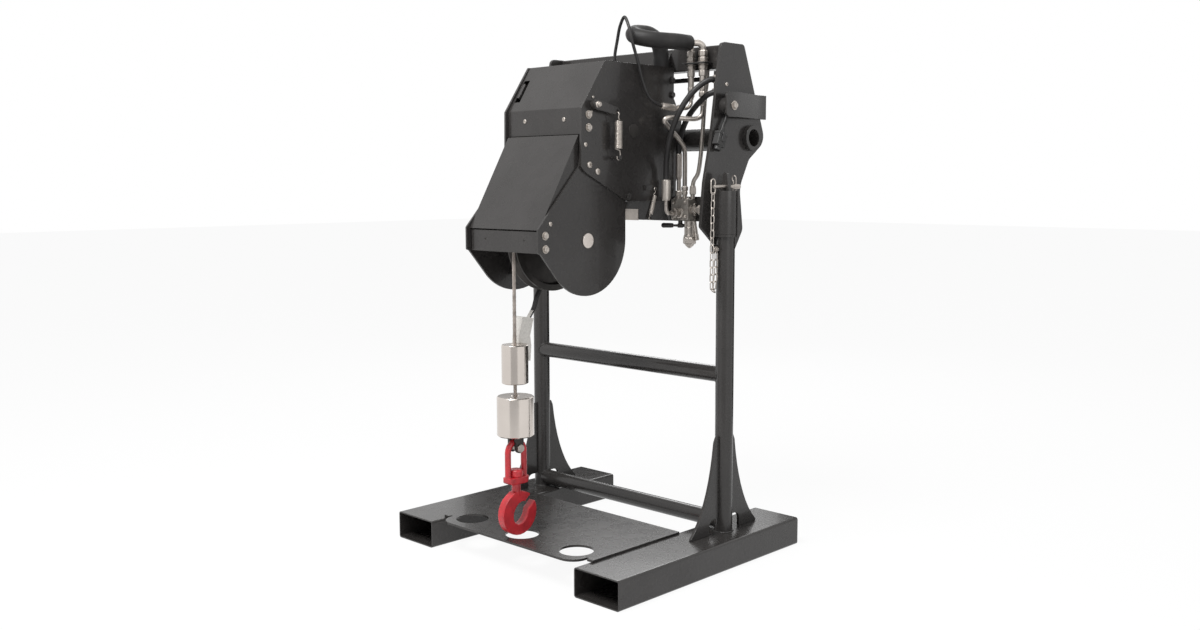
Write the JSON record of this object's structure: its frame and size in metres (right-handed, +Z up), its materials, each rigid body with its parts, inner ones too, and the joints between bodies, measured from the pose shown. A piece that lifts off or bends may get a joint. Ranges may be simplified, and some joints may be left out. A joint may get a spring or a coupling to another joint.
{
  "type": "hydraulic winch on storage stand",
  "caption": "Hydraulic hook winch with rope drum, head sheave and quick-fit carriage, parked on a welded stand with fork pockets.",
  "frame": {"origin": "centre of the ground under the stand's two base tubes", "axes": "+Z up, +X to the right seen from the hook side, -Y towards the hook side, +Y towards the side that the handler picks up"},
  "size_m": [1.1366, 0.96, 1.9009],
  "materials": {
    "charcoal_paint": "satin dark grey powder coat",
    "black_steel": "dull black steel",
    "machined_steel": "turned bright steel",
    "zinc_plate": "zinc plated steel",
    "hose_rubber": "smooth black hose cover",
    "red_paint": "gloss red paint",
    "wire_rope": "laid steel wire"
  },
  "bodies": {
    "frame": {"base_tube_right": "charcoal_paint", "base_tube_left": "charcoal_paint", "base_plate": "charcoal_paint", "post_right": "charcoal_paint", "post_left": "charcoal_paint", "lower_crossbar": "charcoal_paint", "upper_crossbar": "charcoal_paint", "gusset_front_right": "charcoal_paint", "gusset_front_left": "charcoal_paint", "gusset_rear_right": "charcoal_paint", "gusset_rear_left": "charcoal_paint", "carriage_plate_right": "charcoal_paint", "carriage_plate_left": "charcoal_paint", "cross_tube": "charcoal_paint", "top_beam": "charcoal_paint", "lower_beam": "charcoal_paint", "drum_plate_right": "charcoal_paint", "drum_plate_left": "charcoal_paint", "head_plate_right": "charcoal_paint", "head_plate_left": "charcoal_paint", "upper_cover": "charcoal_paint", "nose_cover": "charcoal_paint", "nose_band": "charcoal_paint", "box_shell": "charcoal_paint", "clamp_bracket": "charcoal_paint", "tie_rod": "black_steel", "hydraulic_motor": "black_steel", "limit_switch": "black_steel", "coupler_bracket": "black_steel", "sheave_pin": "machined_steel", "steel_pipe_front": "machined_steel", "steel_pipe_rear": "machined_steel", "window_latch": "zinc_plate", "lever_spring": "zinc_plate", "guide_spring": "zinc_plate", "bulkhead_fittings": "zinc_plate", "valve_block": "zinc_plate", "valve_cartridge": "zinc_plate", "lock_pin_right": "zinc_plate", "lock_pin_left": "zinc_plate", "lock_chain": "zinc_plate", "sleeved_hose": "hose_rubber", "thin_hose": "hose_rubber", "pressure_hose": "hose_rubber", "return_hose": "hose_rubber", "cable_plug": "hose_rubber", "rope": "wire_rope"},
    "hook_block": {"hook_weight": "machined_steel", "shackle": "black_steel", "shackle_pin": "zinc_plate"},
    "bail": {"swivel_bail": "red_paint"},
    "hook": {"hook": "red_paint"},
    "limit_body": {"limit_weight": "machined_steel", "limit_link": "black_steel"},
    "sheave": {"sheave": "black_steel"},
    "drum": {"winch_drum": "black_steel"},
    "lever": {"lever_arm": "charcoal_paint"},
    "clip_right": {"r_clip_right": "zinc_plate"},
    "clip_left": {"r_clip_left": "zinc_plate"},
    "handle": {"drain_handle": "black_steel"}
  },
  "joints": [
    {"name": "hoist_slide", "type": "slide", "parent": "frame", "child": "hook_block", "axis": [0, 0, 1], "range_m": [0, 0.04]},
    {"name": "bail_swing", "type": "hinge", "parent": "hook_block", "child": "bail", "pos_m": [0, -0.396, 0.4197], "axis": [1, 0, 0], "range_deg": [-35, 35]},
    {"name": "hook_swivel", "type": "hinge", "parent": "bail", "child": "hook", "pos_m": [0, -0.396, 0.3], "axis": [0, 0, 1], "continuous": true},
    {"name": "limit_slide", "type": "slide", "parent": "frame", "child": "limit_body", "axis": [0, 0, 1], "range_m": [0, 0.012]},
    {"name": "sheave_spin", "type": "hinge", "parent": "frame", "child": "sheave", "pos_m": [0, -0.227, 1.1325], "axis": [1, 0, 0], "range_deg": [-20, 20]},
    {"name": "drum_spin", "type": "hinge", "parent": "frame", "child": "drum", "pos_m": [0, -0.006, 1.506], "axis": [1, 0, 0], "range_deg": [-25, 25]},
    {"name": "lever_pivot", "type": "hinge", "parent": "frame", "child": "lever", "pos_m": [0.2, -0.209, 1.587], "axis": [1, 0, 0], "range_deg": [0, 12], "stiffness_Nm_per_rad": 3, "springref_deg": -11.46, "deforming": ["lever_spring"]},
    {"name": "clip_right_pull", "type": "slide", "parent": "frame", "child": "clip_right", "axis": [0, 0, 1], "range_m": [0, 0.03]},
    {"name": "clip_left_pull", "type": "slide", "parent": "frame", "child": "clip_left", "axis": [0, 0, 1], "range_m": [0, 0.03]},
    {"name": "handle_turn", "type": "hinge", "parent": "frame", "child": "handle", "pos_m": [0.199, 0.24, 1.17], "axis": [0, 0, 1], "range_deg": [-60, 80]}
  ],
  "couplings": [
    {"joint": "sheave_spin", "follows": "hoist_slide", "rad_per_m": -5.917},
    {"joint": "drum_spin", "follows": "hoist_slide", "rad_per_m": -7.8616}
  ]
}
